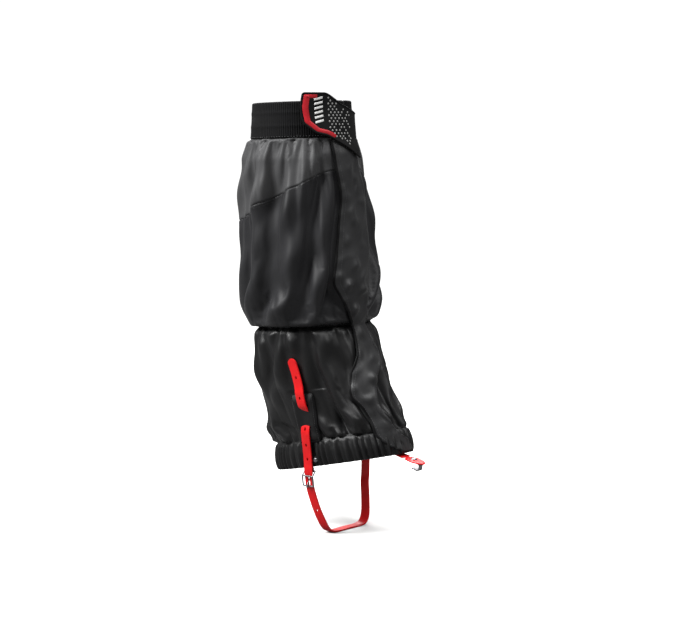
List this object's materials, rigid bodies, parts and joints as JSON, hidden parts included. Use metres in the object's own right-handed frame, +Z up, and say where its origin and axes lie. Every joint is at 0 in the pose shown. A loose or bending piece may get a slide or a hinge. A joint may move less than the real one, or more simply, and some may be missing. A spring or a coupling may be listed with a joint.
{
  "type": "gaiter",
  "caption": "Tall hiking gaiter for the right foot: elastic cuff, two-tone fabric sleeve, peel-open front flap and tab, buckled instep strap and a lace hook.",
  "frame": {"origin": "underneath the middle of the instep strap, the lowest point of the gaiter as worn", "axes": "+X towards the toe, +Y towards the inside of the leg (the buckle is on the -Y side), +Z up the leg"},
  "size_m": [0.2633, 0.16, 0.518],
  "materials": {
    "cuff_knit": "near-black ribbed elastic knit",
    "grey_nylon": "mid-grey woven nylon, matte",
    "black_nylon": "black woven nylon, soft sheen in the folds",
    "flap_nylon": "charcoal woven nylon, slightly lighter than the panels",
    "binding_tape": "black grosgrain tape, stitched",
    "tab_face": "charcoal coated fabric with pale printed dots",
    "red_tape": "red woven tape",
    "red_strap": "bright red moulded strap, satin",
    "red_webbing": "red flat webbing",
    "rubber_patch": "charcoal rubberised reinforcement, matte",
    "hook_tape": "black hook tape, tiny stiff hooks",
    "loop_tape": "black loop tape, soft pile",
    "elastic": "black woven elastic",
    "steel": "bright plated steel wire and rivets"
  },
  "bodies": {
    "sleeve": {"ribbed_cuff": "cuff_knit", "yoke_panel_lateral": "grey_nylon", "yoke_panel_medial": "grey_nylon", "main_panel_lateral": "black_nylon", "main_panel_medial": "black_nylon", "boot_panel_lateral": "black_nylon", "boot_panel_medial": "black_nylon", "hem_band": "black_nylon", "ankle_elastic": "elastic", "hem_elastic": "elastic", "front_hook_strip": "hook_tape", "cuff_loop_patch": "loop_tape", "strap_patch": "rubber_patch", "medial_strap_patch": "rubber_patch", "medial_rivets": "steel", "strap_tail": "red_strap", "strap_medial_end": "red_strap", "buckle_loop": "binding_tape", "anchor_rivet": "steel", "lace_hook_anchor": "red_webbing"},
    "flap": {"front_flap": "flap_nylon", "flap_binding": "binding_tape", "flap_loop_strip": "loop_tape"},
    "tab": {"closing_tab": "tab_face", "tab_binding": "binding_tape", "tab_stripe": "red_tape", "tab_hook_patch": "hook_tape"},
    "instep": {"instep_strap": "red_strap"},
    "buckle": {"buckle_frame": "steel"},
    "prong": {"buckle_prong": "steel"},
    "hook": {"lace_hook_tab": "red_webbing", "lace_hook_rivet": "steel", "lace_hook": "steel"}
  },
  "joints": [
    {"name": "flap_peel", "type": "hinge", "parent": "sleeve", "child": "flap", "pos_m": [0.006, 0.03, 0.455], "axis": [-0.2596, 0.0608, 0.9638], "range_deg": [0, 90]},
    {"name": "tab_peel", "type": "hinge", "parent": "flap", "child": "tab", "pos_m": [0.0058, 0.017, 0.441], "axis": [-0.2419, 0.1091, 0.9641], "range_deg": [0, 75]},
    {"name": "strap_swing", "type": "hinge", "parent": "sleeve", "child": "instep", "pos_m": [-0.012, 0, 0.054], "axis": [0, 1, 0], "range_deg": [-30, 30]},
    {"name": "buckle_pivot", "type": "hinge", "parent": "sleeve", "child": "buckle", "pos_m": [-0.013, -0.0507, 0.076], "axis": [-1, 0, 0], "range_deg": [0, 10]},
    {"name": "prong_pivot", "type": "hinge", "parent": "buckle", "child": "prong", "pos_m": [-0.013, -0.0507, 0.076], "axis": [-1, 0, 0], "range_deg": [0, 5]},
    {"name": "hook_lift", "type": "hinge", "parent": "sleeve", "child": "hook", "pos_m": [0.096, -0.004, 0.0985], "axis": [0, -1, 0], "range_deg": [-20, 30], "stiffness_Nm_per_rad": 0.03}
  ]
}
